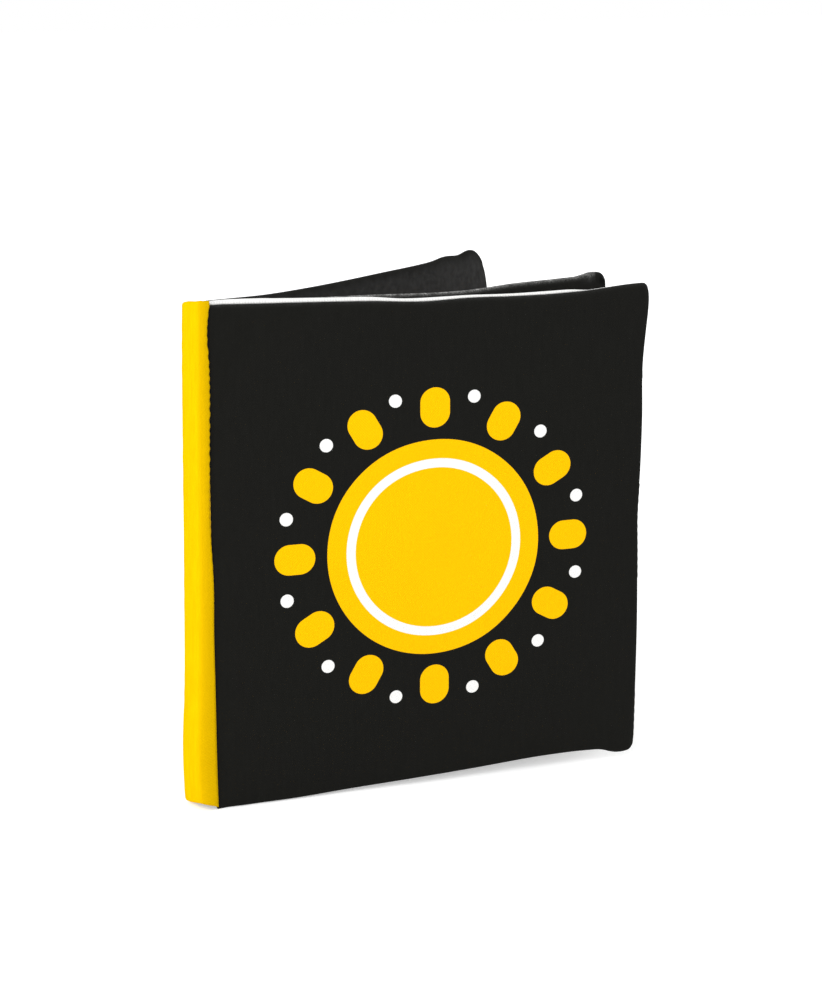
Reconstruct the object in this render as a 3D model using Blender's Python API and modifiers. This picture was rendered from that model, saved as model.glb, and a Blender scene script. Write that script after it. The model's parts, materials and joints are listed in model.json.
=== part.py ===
"""Crinkle book: a soft cloth book of two padded covers and one padded leaf on a padded cloth spine.

Metres, +Z up. The book stands on its lower edges, with the spine towards -X, the leaves fanned out
towards +X and the front cover on the -Y side. Its origin is the bottom centre of its own box.
Each leaf is two fabric panels round a crinkle film and a sheet of wadding, sewn along its edges.
"""
import math
from collections import namedtuple

import bmesh
import bpy

# Size of the book
PAGE_HEIGHT = 0.150
COVER_WIDTH = 0.136
SPINE_WIDTH = 0.0132
SPINE_DEPTH = 0.0032

# How far each leaf stands open, in degrees from the closed book
FRONT_COVER_OPEN = -14.3
INNER_LEAF_OPEN = -6.6
BACK_COVER_OPEN = 14.3

# Layers of a leaf
FABRIC = 0.0005
FILM = 0.0002
LAYER_GAP = 0.0003
THREAD_RADIUS = 0.00025
LEAF_THICKNESS = 0.0040
SHOULDER_THICKNESS = 0.0028
COVER_SETBACK = 0.00015

# Soft edges
EDGE_ROLL = 0.0025
CORNER_RADIUS = 0.0030
DRAWN_IN_SIDE = 0.0010
DRAWN_IN_TOP = 0.0020
DRAWN_IN_FOOT = 0.0003
LINING_ROLL = 0.0007
FOOT_CUT = 0.0005
FILLING_INSET = 0.0035
FILLING_ROLL = 0.0020

# Hinges
HINGE_GAP = 0.0004
SPINE_SIDE_GAP = 0.0003
GUTTER_LENGTH = 0.0026
GUTTER_THICKNESS = 0.0005
GUTTER_GAP = 0.0005
GUTTER_END_INSET = 0.0030

# The spine's own pad
SPINE_CROWN = 0.0006
SPINE_LINING_RISE = 0.0006

# Rows of faces over a rolled edge, as shares of the roll, and cells across the rest of a sheet
ROLL_SHARES = (0.0, 0.05, 0.2, 0.6, 1.0)
FILLING_ROLL_SHARES = (0.0, 0.3, 1.0)
FLAT_EDGE_SHARES = (0.0, 1.0)
LEAF_CELLS = 6
SPINE_CELLS_ACROSS = 3
FILM_CELLS = 8
CROWN_POWER = 4
CORNER_STEPS = 3
THREAD_STEPS = 4

# Colours as red, green, blue, then roughness
BLACK_CLOTH = (0.014, 0.014, 0.013, 0.85)
WHITE_CLOTH = (0.90, 0.90, 0.88, 0.85)
YELLOW_CLOTH = (1.0, 0.60, 0.005, 0.80)
WADDING = (0.92, 0.92, 0.90, 0.95)
FILM_PLASTIC = (0.80, 0.84, 0.88, 0.25)
BLACK_THREAD = (0.02, 0.02, 0.02, 0.60)
YELLOW_THREAD = (0.95, 0.55, 0.01, 0.60)

MERGE_DISTANCE = 0.00001

# Half the slot between two panels' turned edges: the seam thread with a gap on each side
SEAM_HALF_GAP = THREAD_RADIUS + LAYER_GAP
THREAD_INSET = FOOT_CUT + 2 * THREAD_RADIUS
COVER_MIDDLE = COVER_SETBACK + LEAF_THICKNESS / 2

# A pad lies in its own XZ plane with its seam at y = 0: near and far are its ends along X
Pad = namedtuple("Pad", "near far top drawn_side drawn_top drawn_foot crown")


def clear_scene():
    for item in list(bpy.data.objects):
        bpy.data.objects.remove(item, do_unlink=True)


def make_collection(name):
    collection = bpy.data.collections.new(name)
    bpy.context.scene.collection.children.link(collection)
    return collection


def make_material(name, look):
    material = bpy.data.materials.new(name)
    material.use_nodes = True
    shader = material.node_tree.nodes["Principled BSDF"]
    shader.inputs["Base Color"].default_value = (*look[:3], 1.0)
    shader.inputs["Roughness"].default_value = look[3]
    shader.inputs["Metallic"].default_value = 0.0
    material.diffuse_color = (*look[:3], 1.0)
    return material


def add_object(name, data, collection, parent, material):
    item = bpy.data.objects.new(name, data)
    data.materials.append(material)
    collection.objects.link(item)
    item.parent = parent
    return item


def add_empty(name, collection, parent, location=(0, 0, 0), turn=0.0):
    empty = bpy.data.objects.new(name, None)
    empty.location = location
    empty.rotation_euler = (0, 0, math.radians(turn))
    empty.empty_display_size = SPINE_WIDTH
    collection.objects.link(empty)
    empty.parent = parent
    return empty


def crown_at(pad, x, z):
    """How full the pad is at a point: 1 in its middle, falling to 0 at its edges."""
    across = 2 * (x - pad.near) / (pad.far - pad.near) - 1
    up = 2 * (z + FOOT_CUT) / (pad.top + FOOT_CUT) - 1
    return pad.crown * max(0, 1 - abs(across) ** CROWN_POWER) * max(0, 1 - abs(up) ** CROWN_POWER)


def round_corner(pad, x, z):
    """Move a point of the square sheet so that its four corners become arcs."""
    centre_x = min(max(x, pad.near + CORNER_RADIUS), pad.far - CORNER_RADIUS)
    centre_z = min(max(z, CORNER_RADIUS - FOOT_CUT), pad.top - CORNER_RADIUS)
    off_x, off_z = x - centre_x, z - centre_z
    reach = math.hypot(off_x, off_z)
    if off_x == 0 or off_z == 0:
        return x, z
    shrink = max(abs(off_x), abs(off_z)) / reach
    return centre_x + off_x * shrink, centre_z + off_z * shrink


def draw_in(pad, x, z):
    """Pull the free sides in between their corners, and cut the foot flat."""
    across = (x - pad.near) / (pad.far - pad.near)
    up = (z + FOOT_CUT) / (pad.top + FOOT_CUT)
    bow_across = 1 - (2 * across - 1) ** 2
    bow_up = 1 - (2 * up - 1) ** 2
    drawn_x = x - pad.drawn_side * bow_up * across
    drawn_z = z - pad.drawn_top * bow_across * up + pad.drawn_foot * bow_across * (1 - up)
    return drawn_x, max(0, drawn_z)


def stations(low, high, roll, shares, cells):
    """Places along one side of a sheet: close rows over each edge, even cells between them."""
    edge = [share * roll for share in shares]
    step = (high - low - 2 * roll) / cells
    middle = [low + roll + step * k for k in range(1, cells)]
    return [low + d for d in edge] + middle + [high - d for d in reversed(edge)]


def make_sheet(name, pad, inset, roll, shares, cells, height, side):
    """A grid laid over a pad. height(x, z, distance from the edge) is its rise on the given side."""
    left, right = pad.near + inset, pad.far - inset
    foot, top = inset - FOOT_CUT, pad.top - inset
    columns = stations(left, right, roll, shares, cells[0])
    rows = stations(foot, top, roll, shares, cells[1])
    mesh = bpy.data.meshes.new(name)
    grid = bmesh.new()
    bmesh.ops.create_grid(grid, x_segments=len(columns) - 1, y_segments=len(rows) - 1, size=1)
    for vertex in grid.verts:
        column = round((vertex.co.x + 1) / 2 * (len(columns) - 1))
        row = round((vertex.co.y + 1) / 2 * (len(rows) - 1))
        x, z = columns[column], rows[row]
        edge_distance = min(x - left, right - x, z - foot, top - z)
        rise = height(x, z, edge_distance)
        round_x, round_z = round_corner(pad, x, z)
        drawn_x, drawn_z = draw_in(pad, round_x, round_z)
        vertex.co = (drawn_x, side * rise, drawn_z)
    if side > 0:
        bmesh.ops.reverse_faces(grid, faces=grid.faces)
    grid.to_mesh(mesh)
    grid.free()
    mesh.shade_smooth()
    return mesh


def add_thickness(item, thickness):
    solid = item.modifiers.new("Thickness", "SOLIDIFY")
    solid.thickness = thickness
    solid.offset = -1.0


def rolled(edge, full, distance, roll):
    """Rise of a rounded edge: from edge at the rim to full at the end of the roll."""
    part = min(1, distance / roll)
    return edge + (full - edge) * math.sqrt(1 - (1 - part) ** 2)


def add_panel(name, pad, shoulder, side, cells, place, material):
    """One fabric panel, turned in at its edges to the seam slot."""
    def height(x, z, distance):
        return rolled(SEAM_HALF_GAP, shoulder, distance, EDGE_ROLL) + crown_at(pad, x, z)

    mesh = make_sheet(name, pad, 0, EDGE_ROLL, ROLL_SHARES, cells, height, side)
    panel = add_object(name, mesh, place["collection"], place["parent"], material)
    panel.location.y = place["middle"]
    add_thickness(panel, FABRIC)
    return panel


def add_film(name, pad, shoulder, side, place, material):
    """The crinkle film, close under one panel."""
    def height(x, z, distance):
        return shoulder - FABRIC - LAYER_GAP + crown_at(pad, x, z)

    cells = (FILM_CELLS, FILM_CELLS)
    mesh = make_sheet(name, pad, FILLING_INSET, FILLING_ROLL, FLAT_EDGE_SHARES, cells, height, side)
    film = add_object(name, mesh, place["collection"], place["parent"], material)
    film.location.y = place["middle"]
    add_thickness(film, FILM)
    return film


def add_wadding(name, pad, low, high, side, cells, place, material):
    """A pillow of wadding from low on one side of the seam to high on the other."""
    half = (high - low) / 2

    def height(x, z, distance):
        return rolled(0, half + crown_at(pad, x, z), distance, FILLING_ROLL)

    mesh = make_sheet(name, pad, FILLING_INSET, FILLING_ROLL, FILLING_ROLL_SHARES, cells, height, -1)
    wadding = add_object(name, mesh, place["collection"], place["parent"], material)
    wadding.location.y = place["middle"] + side * (high + low) / 2
    mirror = wadding.modifiers.new("Other side", "MIRROR")
    mirror.use_axis = (False, True, False)
    mirror.merge_threshold = MERGE_DISTANCE
    return wadding


def add_thread(name, points, place, material):
    """A sewing thread: a thin tube through the points."""
    curve = bpy.data.curves.new(name, "CURVE")
    curve.dimensions = "3D"
    curve.bevel_depth = THREAD_RADIUS
    curve.bevel_resolution = 1
    curve.use_fill_caps = True
    spline = curve.splines.new("POLY")
    spline.points.add(len(points) - 1)
    for point, co in zip(spline.points, points):
        point.co = (*co, 1.0)
    thread = add_object(name, curve, place["collection"], place["parent"], material)
    thread.location.y = place["middle"]
    return thread


def edge_route(pad):
    """The seam's route round a leaf: out along the foot, up the free side and back along the top."""
    left, right = pad.near + CORNER_RADIUS, pad.far - CORNER_RADIUS
    low, high = CORNER_RADIUS - FOOT_CUT, pad.top - CORNER_RADIUS
    reach = CORNER_RADIUS - THREAD_INSET
    route = []
    for k in range(THREAD_STEPS):
        route.append((left + (right - left) * k / THREAD_STEPS, low - reach))
    for k in range(CORNER_STEPS):
        turn = math.pi / 2 * k / (CORNER_STEPS - 1)
        route.append((right + reach * math.sin(turn), low - reach * math.cos(turn)))
    for k in range(1, THREAD_STEPS):
        route.append((right + reach, low + (high - low) * k / THREAD_STEPS))
    for k in range(CORNER_STEPS):
        turn = math.pi / 2 * k / (CORNER_STEPS - 1)
        route.append((right + reach * math.cos(turn), high + reach * math.sin(turn)))
    for k in range(1, THREAD_STEPS + 1):
        route.append((right + (left - right) * k / THREAD_STEPS, high + reach))
    points = []
    for x, z in route:
        drawn_x, drawn_z = draw_in(pad, x, z)
        points.append((drawn_x, 0, drawn_z))
    return points


def leaf_pad(near, far):
    crown = (LEAF_THICKNESS - SHOULDER_THICKNESS) / 2
    return Pad(near, far, PAGE_HEIGHT, DRAWN_IN_SIDE, DRAWN_IN_TOP, DRAWN_IN_FOOT, crown)


def add_leaf(leaf, panels, pad, rear_pad, film_side, place, looks):
    """One leaf: a panel on the front side, one on the rear side, film, wadding and edge thread."""
    shoulder = SHOULDER_THICKNESS / 2
    cells = (LEAF_CELLS, LEAF_CELLS)
    add_panel(f"{leaf}_{panels[0]}", pad, shoulder, -1, cells, place, looks[panels[0]])
    add_panel(f"{leaf}_{panels[1]}", rear_pad, shoulder, 1, cells, place, looks[panels[1]])
    add_film(f"{leaf}_crinkle_film", pad, shoulder, film_side, place, looks["film"])
    high = shoulder - FABRIC - 2 * LAYER_GAP - FILM
    low = FABRIC + LAYER_GAP - shoulder
    add_wadding(f"{leaf}_wadding", pad, low, high, film_side, cells, place, looks["wadding"])
    add_thread(f"{leaf}_edge_thread", edge_route(pad), place, looks["thread"])


def add_spine(place, looks):
    """The spine, which carries all the leaves. Its own X runs towards -Y, and its cover faces -X."""
    half_width = SPINE_WIDTH / 2 - SPINE_SIDE_GAP
    lining_rise = SEAM_HALF_GAP + SPINE_LINING_RISE
    cover_rise = SPINE_DEPTH - lining_rise
    cover_pad = Pad(-half_width, half_width, PAGE_HEIGHT, 0, 0, 0, SPINE_CROWN)
    lining_pad = cover_pad._replace(crown=0)
    seam_x = -SPINE_SIDE_GAP - lining_rise
    frame = add_empty("spine_frame", place["collection"], place["parent"], (seam_x, 0, 0), -90)
    place = dict(place, parent=frame, middle=0)
    cells = (SPINE_CELLS_ACROSS, LEAF_CELLS)
    shoulder = cover_rise - SPINE_CROWN
    add_panel("spine_cover", cover_pad, shoulder, -1, cells, place, looks["yellow"])
    add_panel("spine_lining", lining_pad, lining_rise, 1, cells, place, looks["black"])
    high = shoulder - FABRIC - LAYER_GAP
    low = FABRIC + LAYER_GAP - lining_rise + SPINE_CROWN
    add_wadding("spine_wadding", cover_pad, low, high, -1, cells, place, looks["wadding"])
    for name, across in (("front_spine_seam_thread", 1), ("rear_spine_seam_thread", -1)):
        x = across * (half_width - THREAD_INSET)
        foot, top = CORNER_RADIUS, PAGE_HEIGHT - CORNER_RADIUS
        route = [(x, 0, foot + (top - foot) * k / THREAD_STEPS) for k in range(THREAD_STEPS + 1)]
        add_thread(name, route, place, looks["yellow_thread"])


def add_gutter(place, looks):
    """The strip on the spine's lining that the inner leaf is sewn to, with its thread."""
    length = GUTTER_LENGTH
    height = PAGE_HEIGHT - 2 * GUTTER_END_INSET
    mesh = bpy.data.meshes.new("centre_gutter_tape")
    box = bmesh.new()
    bmesh.ops.create_cube(box, size=1)
    bmesh.ops.scale(box, vec=(length, GUTTER_THICKNESS, height), verts=box.verts)
    bmesh.ops.translate(box, vec=(length / 2, 0, PAGE_HEIGHT / 2), verts=box.verts)
    box.to_mesh(mesh)
    box.free()
    add_object("centre_gutter_tape", mesh, place["collection"], place["parent"], looks["black"])
    side = GUTTER_THICKNESS / 2 + LAYER_GAP + THREAD_RADIUS
    foot, top = GUTTER_END_INSET, PAGE_HEIGHT - GUTTER_END_INSET
    route = [(length / 2, side, foot + (top - foot) * k / THREAD_STEPS) for k in range(THREAD_STEPS + 1)]
    add_thread("centre_gutter_thread", route, dict(place, middle=0), looks["thread"])


def stand_on_origin(book, collection):
    """Move the book so that the bottom centre of its box is at the origin."""
    bpy.context.view_layer.update()
    graph = bpy.context.evaluated_depsgraph_get()
    corners = []
    for item in collection.objects:
        if item.type in {"MESH", "CURVE"}:
            shape = item.evaluated_get(graph)
            mesh = shape.to_mesh()
            corners += [shape.matrix_world @ vertex.co for vertex in mesh.vertices]
            shape.to_mesh_clear()
    for axis in (0, 1):
        values = [corner[axis] for corner in corners]
        book.location[axis] = -(min(values) + max(values)) / 2
    book.location.z = -min(corner.z for corner in corners)
    bpy.context.view_layer.update()


def main():
    clear_scene()
    collection = make_collection("crinkle_book")
    black = make_material("black_cloth", BLACK_CLOTH)
    white = make_material("white_cloth", WHITE_CLOTH)
    yellow = make_material("yellow_cloth", YELLOW_CLOTH)
    thread = make_material("black_thread", BLACK_THREAD)
    yellow_thread = make_material("yellow_thread", YELLOW_THREAD)
    inner = {
        "film": make_material("crinkle_film", FILM_PLASTIC),
        "wadding": make_material("wadding", WADDING),
    }

    book = add_empty("book", collection, None)
    place = {"collection": collection, "parent": book, "middle": 0}
    spine_looks = dict(inner, yellow=yellow, black=black, yellow_thread=yellow_thread, thread=thread)
    add_spine(place, spine_looks)
    add_gutter(place, spine_looks)

    hinge = (0, -SPINE_WIDTH / 2, 0)
    place["parent"] = add_empty("front_cover_hinge", collection, book, hinge, FRONT_COVER_OPEN)
    place["middle"] = COVER_MIDDLE
    looks = dict(inner, thread=thread, outer_panel=black, lining_panel=white)
    pad = leaf_pad(HINGE_GAP - SPINE_SIDE_GAP, COVER_WIDTH)
    lining_pad = pad._replace(top=PAGE_HEIGHT + LINING_ROLL)
    add_leaf("front_cover", ("outer_panel", "lining_panel"), pad, lining_pad, -1, place, looks)

    hinge = (0, SPINE_WIDTH / 2, 0)
    place["parent"] = add_empty("back_cover_hinge", collection, book, hinge, BACK_COVER_OPEN)
    place["middle"] = -COVER_MIDDLE
    looks = dict(inner, thread=thread, outer_panel=black, lining_panel=black)
    add_leaf("back_cover", ("lining_panel", "outer_panel"), pad, pad, 1, place, looks)

    hinge = (GUTTER_LENGTH, 0, 0)
    place["parent"] = add_empty("inner_leaf_hinge", collection, book, hinge, INNER_LEAF_OPEN)
    place["middle"] = 0
    looks = dict(inner, thread=thread, front_panel=black, rear_panel=black)
    pad = leaf_pad(GUTTER_GAP, COVER_WIDTH - GUTTER_LENGTH)
    add_leaf("inner_leaf", ("front_panel", "rear_panel"), pad, pad, -1, place, looks)

    stand_on_origin(book, collection)


main()
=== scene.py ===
"""The looks of the crinkle book: padded cloth covers and leaf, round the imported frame.

Metres, in the frame's own axes: +Z up, the spine towards -X, the front cover on the -Y side. A leaf is
made in its own frame: X along the leaf from its hinge, Z up, and a depth that grows from its outer face
to its inner face.
"""

import json
import math
from collections import namedtuple
from functools import partial

import bmesh
import bpy
import numpy as np
from mathutils import Matrix, Vector


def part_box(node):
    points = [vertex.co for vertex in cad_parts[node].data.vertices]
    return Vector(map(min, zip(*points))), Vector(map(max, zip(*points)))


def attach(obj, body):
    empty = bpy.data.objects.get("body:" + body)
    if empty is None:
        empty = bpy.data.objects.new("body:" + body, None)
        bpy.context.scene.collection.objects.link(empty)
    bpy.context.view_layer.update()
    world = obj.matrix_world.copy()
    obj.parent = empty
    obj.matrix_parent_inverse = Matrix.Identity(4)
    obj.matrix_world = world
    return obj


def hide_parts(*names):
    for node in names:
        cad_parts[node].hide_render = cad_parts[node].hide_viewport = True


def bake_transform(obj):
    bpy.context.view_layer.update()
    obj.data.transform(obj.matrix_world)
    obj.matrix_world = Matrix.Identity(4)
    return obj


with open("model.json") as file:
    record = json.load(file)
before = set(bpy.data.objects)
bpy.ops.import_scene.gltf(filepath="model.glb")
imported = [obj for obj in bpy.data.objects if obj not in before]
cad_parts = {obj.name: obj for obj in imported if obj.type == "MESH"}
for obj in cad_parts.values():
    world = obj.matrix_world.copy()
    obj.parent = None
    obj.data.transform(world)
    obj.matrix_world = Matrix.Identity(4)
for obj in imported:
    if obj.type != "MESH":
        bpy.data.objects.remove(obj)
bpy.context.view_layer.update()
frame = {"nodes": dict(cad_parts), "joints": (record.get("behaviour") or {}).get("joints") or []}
JOINTS = {joint["name"]: joint for joint in frame["joints"]}

# The camera, from the photograph: place in metres, turns in degrees, focal length in pixels
PHOTO_HEIGHT = 1000
CAMERA_PLACE = (-0.3875, -0.5812, 0.2466)
CAMERA_HEADING = 55.82
CAMERA_DOWN = 13.144
CAMERA_FOCAL = 2367.0
SENSOR = 36.0

# Cloth and padding
FABRIC = 0.00045
FILM = 0.0001
SEAM_HALF_SLOT = 0.00022
SHOULDER = 0.00145
CROWN = 0.00025
CROWN_POWER = 4
EDGE_ROLL = 0.0026
OUTLINE_FADE = 3
FOOT_ROLL = 0.0013

# Meshes: rows over a rolled edge, and the size of the cells between the rolls
ROLL_ROWS = 5
CELL = 0.0021

# Random waves: how many sines, the least and the added share of the pitch, the usual peak of their sum,
# and how far apart the seeds of two leaves are
WAVE_COUNT = 9
WAVE_SPREAD = (0.6, 0.9)
WAVE_PEAK = 1.4
SEEDS_APART = 10

# Puckers along the seams, with a phase that drifts (radians) and a strength that varies
PUCKER_PITCH = 0.0084
PUCKER_RISE = 0.00026
PUCKER_START = 0.5 * EDGE_ROLL
PUCKER_REACH = 0.0052
PUCKER_WAVES = 4
PUCKER_DRIFT = 4
PUCKER_DRIFT_PITCH = 0.026
PUCKER_STRENGTH = (0.3, 0.9)
PUCKER_STRENGTH_PITCH = 0.030

# The slow waves of a soft page, and where the curl of its upper corner starts and how far it reaches, as
# sums of the shares of its width and height
WAVE_PITCH = 0.034
WAVE_RISE = 0.00016
CURL_START = 1.62
CURL_SPAN = 0.38

# Cloth simulation: kilograms, and a cap in metres on how far a point may move
SIM_FRAMES = 20
SIM_QUALITY = 6
SIM_MASS = 0.1
SIM_TENSION = 15
SIM_SHEAR = 5
SIM_BENDING = 0.02
SIM_PRESSURE = 4.0
SIM_EXTRA_CLOTH = 0.012
SIM_CAP = 0.00024

# Colours, as linear red, green and blue
BLACK = (0.0100, 0.0100, 0.0087)
PAGE_BLACK = (0.0124, 0.0124, 0.0111)
CHARCOAL = (0.0514, 0.0514, 0.0512)
WHITE = (0.90, 0.90, 0.885)
YELLOW = (0.98, 0.57, 0.001)
# Painted shade: the darker yellow given to the yellow strip's turned-in walls
PAINTED_SHADE_YELLOW = (0.65, 0.397, 0.001)
INK_YELLOW = (0.98, 0.535, 0.0)
# Wear near the edges, with a painted highlight where the rolled edges catch the light
WEAR_AND_HIGHLIGHT_BLACK = (0.045, 0.045, 0.044)
WEAR_AND_HIGHLIGHT_PAGE = (0.42, 0.42, 0.41)
# Painted shade in the inner leaf's far upper corner
PAINTED_SHADE_BLACK = (0.0010, 0.0010, 0.0010)
WADDING_SHADES = (0.80, 0.80, 0.78), (0.95, 0.95, 0.93)
FILM_TINT = (0.80, 0.84, 0.88)
FLOOR_WHITE = (0.86, 0.86, 0.86)
FULL_WHITE = (1, 1, 1)

# Shaders: roughness, specular level and sheen
SHEEN_ROUGHNESS = 0.45
CLOTH_ROUGHNESS = 0.85
CLOTH_SPECULAR = 0.04
BLACK_SHEEN = 0.03
THREAD_LOOK = (0.55, 0.25, 0.1)
WADDING_LOOK = (0.95, 0.05, 0.3)
FILM_LOOK = (0.18, 0.5)
FILM_ALPHA = 0.55

# Noise: scale in 1/m, detail, roughness. The slubs' place is stretched first, by these scales
SLUB_STRETCH = (900, 900, 120)
SLUB_GRAIN = (1.0, 1.0)
FLUFF_GRAIN = (2600, 2.0, 0.6)
CLOUD_GRAIN = (38, 3.0)
NAP_GRAIN = (420, 3.0, 0.6)
PLY_GRAIN = (3000, 1.0)
FIBRE_GRAIN = (1400, 4.0, 0.7)
FILM_GRAIN = (220, 3.0, 0.6)

# Bumps: height in metres, and strength
WEAVE_BUMP = (0.00006, 0.8)
PLY_BUMP = 0.00004
FIBRE_BUMP = 0.0003
FILM_BUMP = 0.0004

# Weave: the pitch of the threads, the rises of crossings, slubs and fluff, and the tones of crossings,
# slubs and the middle, which go from dark yarn to light yarn
THREAD_PITCH = 0.00042
WEAVE_RISES = (0.5, 0.9, 0.7)
WEAVE_TONES = (0.25, 0.9, 0.1)
YARN_SHADES = (0.80, 1.08)
PLY_SHADE = 0.75
CLOUD_SHARE = 0.22
INK_SHARE = 0.10
INK_SHADE = 0.93

# Nap: contrast and offset of its noise, its shade, and its share on covers, pages and inside the back
NAP_CONTRAST = (2.4, -0.7)
NAP_SHADE = 0.45
COVER_NAP = 0.15
PAGE_NAP = 0.55
INSIDE_NAP = 0.85

# Wear with a painted highlight along the edges: contrast and offset of the rubbed fluff, its fall from the
# edge, and its shares at top, foot and far
RUB_CONTRAST = (2.6, -0.85)
WEAR_AND_HIGHLIGHT_POWER = 8.0
WORN_PATCHES = 1.2
NEAR_EDGE_REACH = 1.3 * EDGE_ROLL
NEAR_EDGE_SHARES = (1.0, 0.6, 0.35)

# The inner leaf's upper edge: where it is frayed, as a share of its width, and its far corner, darkened
# with painted shade
FRAYED_PLACE = 0.952
SHADE_TIP_INSET = (0.0016, 0.0024)
SHADE_TIP_REACH = 0.0034

# Hinges and seams
HINGE_X = JOINTS["front_cover_hinge"]["pos_m"][0]
PAGE_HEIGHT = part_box("spine_cover")[1].z
LAYER_GAP = 0.0001
SEAM_ALLOWANCE = (-0.0016, -0.0010, -0.0004)
ALLOWANCE_SHARE = 0.985
LINING_RISES = ((0, 0.002), (0.08, 0.0024), (0.18, 0.00215), (0.27, 0.002), (0.36, 0.002),
                (0.43, 0.0016), (0.49, 0.0018), (0.56, 0.0015), (0.7, 0.00145), (0.765, 0.0016),
                (0.83, 0.0012), (0.87, -0.0002), (0.9, -0.0012), (1, -0.0012))
LINING_LIP = 0.45
LINING_FOOT = ((0, 0.0), (0.6, 0.0003), (1, 0.0006))

# Film and wadding in a leaf
FILLING_INSET = 0.0032
FILLING_ROLL = 0.0018
FILLING_GAP = 0.0002
FILM_DEPTH = 0.00085
WADDING_DEPTHS = (0.00130, 0.00080)
WADDING_FLUFF = 0.00008
FLUFF_PITCH = 0.006
CREASE_PITCH = 0.010
FINE_CREASES = 0.6
CREASE_POWER = 0.7
CREASE_RISE = 0.00018
FILM_SEED = 40

# Threads: the radius, the swing to each side and the length of a stitch
THREAD = 0.00020
THREAD_INSET = 0.00085
THREAD_ROUNDNESS = 2
EDGE_SWAY = 0.00007
EDGE_STITCH = 0.0026
SEAM_SWAY = 0.00005
SEAM_STITCH = 0.0026
SEAM_THREAD_Y = 0.00570
SEAM_THREAD_IN = 0.00025
GUTTER_STITCH = 0.0036
STITCH_POINTS = 8
SWING_POWER = 0.6
PATH_POINTS = 80

# The spine's strip: the depth of its bulge at shares of its height, the lines of its top and foot, and how
# its front edge (up) and rear edge (down) wander and are pulled in by the stitches
SPINE_HALF_WIDTH = 0.00645
SPINE_DEPTH = 0.0033
SPINE_DEPTHS = ((0, 0.005), (0.04, 0.0053), (0.12, 0.0055), (0.22, 0.0046), (0.4, 0.0037),
                (0.6, 0.0032), (0.85, 0.0026), (1, 0.0021))
SPINE_TOP = ((0, 0.0004), (0.12, 0.0004), (0.35, -0.0001), (0.7, -0.0006), (1, -0.0014))
SPINE_FOOT = ((0, 0.0006), (0.1, 0.0013), (0.22, 0.0017), (0.32, 0.0015), (0.45, 0.001), (0.6, 0.0005),
              (0.75, 0.0002), (1, 0.0001))
SEAM_LINE = ((0, 0.0008), (0.08, 0.0006), (0.25, 0.0005), (0.35, 0.0004), (0.45, 0.0006), (0.58, -0.0002),
             (0.7, 0.0001), (0.87, 0.0005), (0.95, 0.0001), (1, 0.0011))
SEAM_PULL = 0.00020
SEAM_PULLS = ((0, 0.1), (0.4, 0.1), (0.55, 0.5), (0.7, 1), (0.85, 1), (1, 0.5))
PULL_DRIFT = 2
PULL_DRIFT_PITCH = 0.012
# The strip's turned-in walls: how far from the seam they reach and how wide they blend out, and the share
# of painted shade on them at the foot and at the top
SPINE_WALL = (0.0030, 0.0014)
PAINTED_SHADE_SHARES = (0.7, 1.0)
SPINE_BOXINESS = 3.4
SECTION_POINTS = 400
SPINE_STEPS = 18
SPINE_ROW = CELL / 3
SPINE_END_ROLL = 0.0010
SPINE_END_DRAWN = 0.0002
SPINE_END_DEPTH = 0.4
SPINE_EDGE = 0.00025
SPINE_RIM = 0.0002
SPINE_FOLD = 0.00012
SPINE_FOLD_START = 0.002
SIDE_FOLD = 0.6
CREPE = 0.6
CREPE_PITCH = 0.007
CREPE_STRETCH = 5
FILLING_END = 0.8
SPINE_SEED = 70
LINING_HALF_WIDTH = 0.0052
LINING_STEPS = 8
LINING_INSET = 0.0016
LINING_END_ROLL = 0.0012
LINING_ROLL = 0.0006
LINING_WAVE = 0.00015
LINING_PITCH = 0.006
LINING_STRETCH = 3

# The centre gutter's tape
TAPE_TUCK = 0.0016
TAPE_STEPS = 8
TAPE_ROWS = 2
TAPE_ROLL = 0.0010
TAPE_WAVE = 0.00015
TAPE_PITCH = 0.012
TAPE_SWAY = 0.00036

# Prints
INK_SOFTNESS = 0.00012
SUN_PLACE = (0.50, 0.492)
SUN_DISC = 0.0335
SUN_RING = 0.0262
SUN_RING_HALF_WIDTH = 0.0014
SUN_BARS = 12
SUN_BAR_REACH = (0.0418, 0.0450)
SUN_BAR_HALF_WIDTH = 0.0046
SUN_DOT_REACH = 0.0475
SUN_DOT = 0.0020
DOT_STEP = 0.022
DOT_RADIUS = 0.0062
DOT_MARGINS = (0.017, 0.017, 0.022)
RING_STEP = 0.0120
RING_COUNT = 5
RIPPLE_LENGTH = 0.040
RIPPLE_RISE = 0.0035
RIPPLE_STEP = 0.0190
RIPPLE_FOOT = 0.0140
RIPPLE_COUNT = 6
CHECK_SIZE = 0.0180
CHECK_COLUMNS = 6
CHECK_ROWS = 6
CHECK_FOOT = 0.014
CHECK_SOFTNESS = 0.02
CHECK_TRIM = 0.0003

# Light, in metres and watts: place, size, power
LIGHT_AIM = (0, 0, 0.07)
WORLD_STRENGTH = 0.70
FLOOR_HALF = 6.0
FLOOR_DROP = 0.0002
FLOOR_GLOW = 0.42
LIGHTS = {
    "key": ((-1.1, -0.5, 0.8), 1.0, 13.0),
    "fill": ((0.4, -1.3, 0.6), 1.2, 1.4),
    "rear": ((1.2, 1.0, 0.8), 1.2, 8.0),
}

# flip is 1 where a leaf's depth grows towards +Y. The near_ values are at the hinge, for the outer and the
# inner face. top, foot and far move the edges, corner gives the reach of the round corners, curl is how far
# the upper one leans out, and frayed the reach of a worn spot
Leaf = namedtuple("Leaf", "name matrix flip width height middle near_depths near_reaches "
                  "top foot far corner curl frayed")


def smooth(share):
    """A share from 0 to 1, eased at both ends."""
    share = np.clip(share, 0, 1)
    return share * share * (3 - 2 * share)


def rounded(share):
    """The rise of a round edge: 0 at its rim, 1 where the roll ends."""
    share = np.clip(share, 0, 1)
    return np.sqrt(1 - (1 - share) ** 2)


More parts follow.
